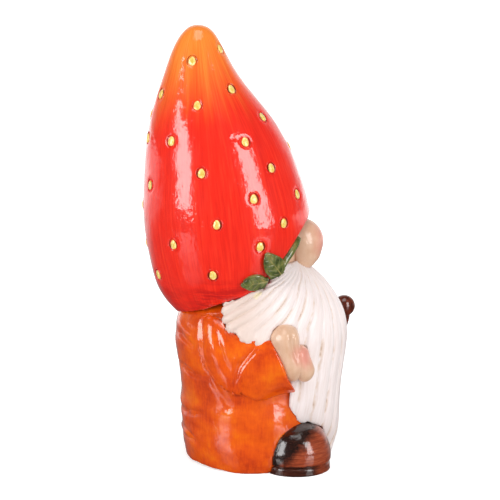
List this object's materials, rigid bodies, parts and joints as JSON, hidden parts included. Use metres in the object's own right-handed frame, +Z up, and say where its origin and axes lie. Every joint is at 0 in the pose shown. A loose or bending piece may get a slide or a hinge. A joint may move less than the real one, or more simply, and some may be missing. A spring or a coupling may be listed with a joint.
{
  "type": "garden gnome",
  "caption": "Standing garden gnome of glazed ceramic with a tall berry-shaped hat, long beard, boots and a walking stick.",
  "frame": {"origin": "centre of the flat face that the figure rests on", "axes": "+Z up along the figure's height; the gnome faces -Y and its right side is at -X"},
  "size_m": [0.1713, 0.1973, 0.4],
  "materials": {
    "orange_glaze": "glossy mottled orange glaze",
    "bare_biscuit": "unglazed matte earthenware",
    "skin_glaze": "glossy beige glaze with a pink blush",
    "red_glaze": "glossy brushed red glaze, orange towards the tip",
    "yellow_glaze": "glossy pale yellow glaze",
    "white_glaze": "satin off-white glaze with tan wash in the grooves",
    "green_glaze": "glossy olive green glaze",
    "brown_glaze": "glossy reddish brown brushed glaze"
  },
  "bodies": {
    "root": {"coat_shell": "orange_glaze", "base_slab": "bare_biscuit", "head_core": "skin_glaze", "nose": "skin_glaze", "hat_shell": "red_glaze", "hat_seeds": "yellow_glaze", "beard": "white_glaze", "stick_shaft": "brown_glaze", "stick_knob": "brown_glaze", "right_front_leaf": "green_glaze", "right_side_leaf": "green_glaze", "right_back_leaf": "green_glaze", "right_sleeve": "orange_glaze", "right_hand": "skin_glaze", "right_boot": "brown_glaze", "right_sole": "brown_glaze", "left_front_leaf": "green_glaze", "left_side_leaf": "green_glaze", "left_back_leaf": "green_glaze", "left_sleeve": "orange_glaze", "left_hand": "skin_glaze", "left_boot": "brown_glaze", "left_sole": "brown_glaze"}
  },
  "joints": []
}
